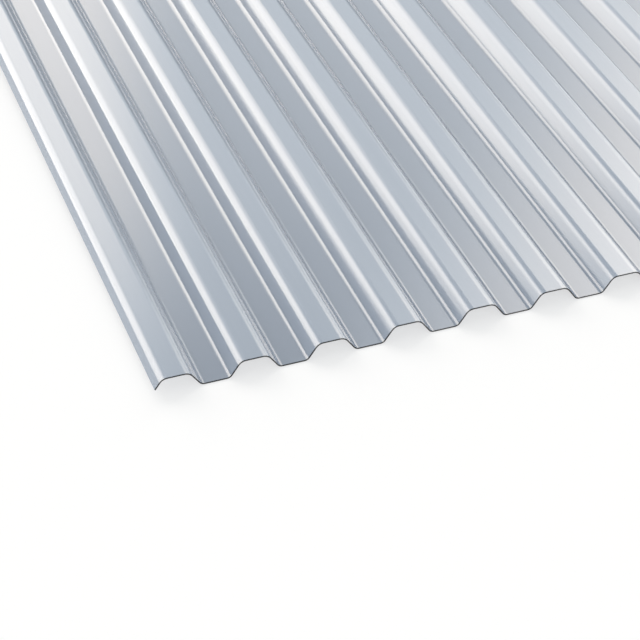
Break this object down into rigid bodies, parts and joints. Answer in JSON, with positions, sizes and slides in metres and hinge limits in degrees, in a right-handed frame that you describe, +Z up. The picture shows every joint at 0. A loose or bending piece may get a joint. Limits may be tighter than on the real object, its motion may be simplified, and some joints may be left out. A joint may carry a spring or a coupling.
{
  "type": "trapezoidal pvc sheet",
  "caption": "Glossy bluish-grey PVC roofing sheet with straight trapezoidal ribs along its length, square-cut ends and long edges that stop part of the way down a web.",
  "frame": {"origin": "middle of the underside: halfway along the length and the width, level with the bottom of the valleys", "axes": "+X across the ribs, +Y along the ribs, +Z up, out of the crowns"},
  "size_m": [1.1058, 2, 0.0172],
  "materials": {
    "pvc": "smooth, glossy bluish-grey rigid PVC with faint extrusion streaks, dark at the sawn ends"
  },
  "bodies": {
    "root": {"sheet": "pvc"}
  },
  "joints": []
}
